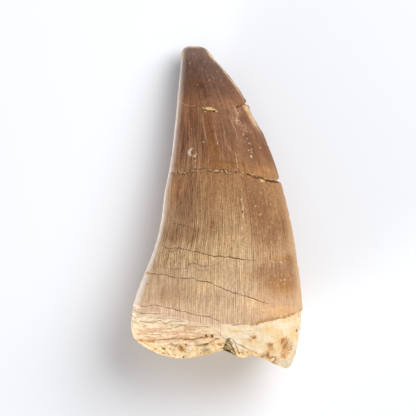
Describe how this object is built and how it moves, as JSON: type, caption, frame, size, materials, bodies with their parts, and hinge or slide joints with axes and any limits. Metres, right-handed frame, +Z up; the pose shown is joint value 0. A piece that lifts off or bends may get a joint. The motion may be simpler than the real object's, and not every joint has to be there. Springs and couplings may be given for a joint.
{
  "type": "fossil mosasaur tooth",
  "caption": "Stout, slightly curved fossil reptile tooth crown with a worn tip, old mended breaks, fine lengthwise striation and a rough broken base, lying on its side.",
  "frame": {"origin": "on the table under the centre of the tooth's box, as it lies on its side", "axes": "+Y towards the tip, +X towards the bulging cutting edge, +Z up from the table"},
  "size_m": [0.0298, 0.0558, 0.0196],
  "materials": {
    "tooth_enamel": "satin fossil enamel, brown at the tip and cream at the base"
  },
  "bodies": {
    "root": {"tooth": "tooth_enamel"}
  },
  "joints": []
}
